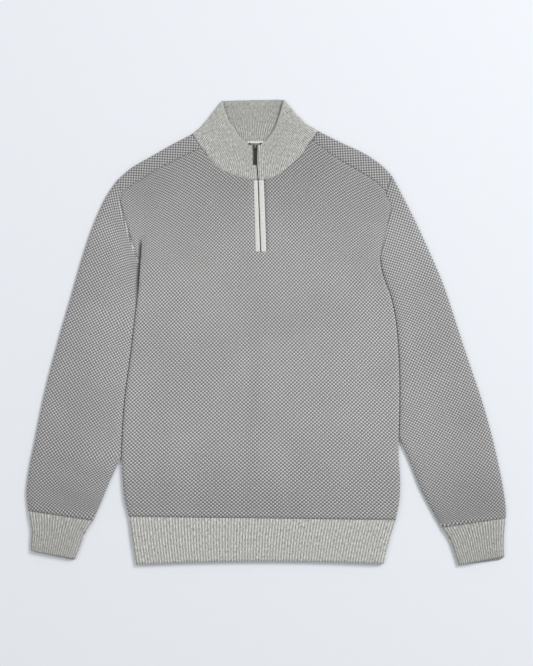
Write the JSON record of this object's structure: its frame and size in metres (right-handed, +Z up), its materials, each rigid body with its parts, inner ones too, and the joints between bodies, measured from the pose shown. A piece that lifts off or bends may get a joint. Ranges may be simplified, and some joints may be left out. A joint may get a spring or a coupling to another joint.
{
  "type": "quarter zip sweater",
  "caption": "Knitted long-sleeved pullover with a stand collar and a short zip, laid flat front up, with rib collar, cuffs and hem.",
  "frame": {"origin": "on the surface that the sweater lies on, under the middle of its box", "axes": "+X to the right of the laid sweater as seen from above, +Y towards the collar, +Z up out of its front"},
  "size_m": [0.792, 0.7696, 0.0127],
  "materials": {
    "knit": "matte two-tone bird's-eye knit",
    "rib": "matte heather rib knit",
    "band": "matte pale knit",
    "coil": "dark satin nylon",
    "slider": "dark gunmetal",
    "pull": "black satin",
    "label": "plain woven tape"
  },
  "bodies": {
    "garment": {"back": "knit", "front": "knit", "sleeve_left": "knit", "sleeve_right": "knit", "cuff_left": "rib", "cuff_right": "rib", "hem_front": "rib", "hem_back": "rib", "collar": "rib", "placket_left": "band", "placket_right": "band", "zip_coil": "coil", "zip_end_left": "coil", "zip_end_right": "coil", "zip_slider": "slider", "neck_label": "label"},
    "pull": {"zip_pull": "pull"}
  },
  "joints": [
    {"name": "pull_swing", "type": "hinge", "parent": "garment", "child": "pull", "pos_m": [-0.018, 0.30775, 0.0104], "axis": [-1, 0, 0], "range_deg": [0, 150]}
  ]
}
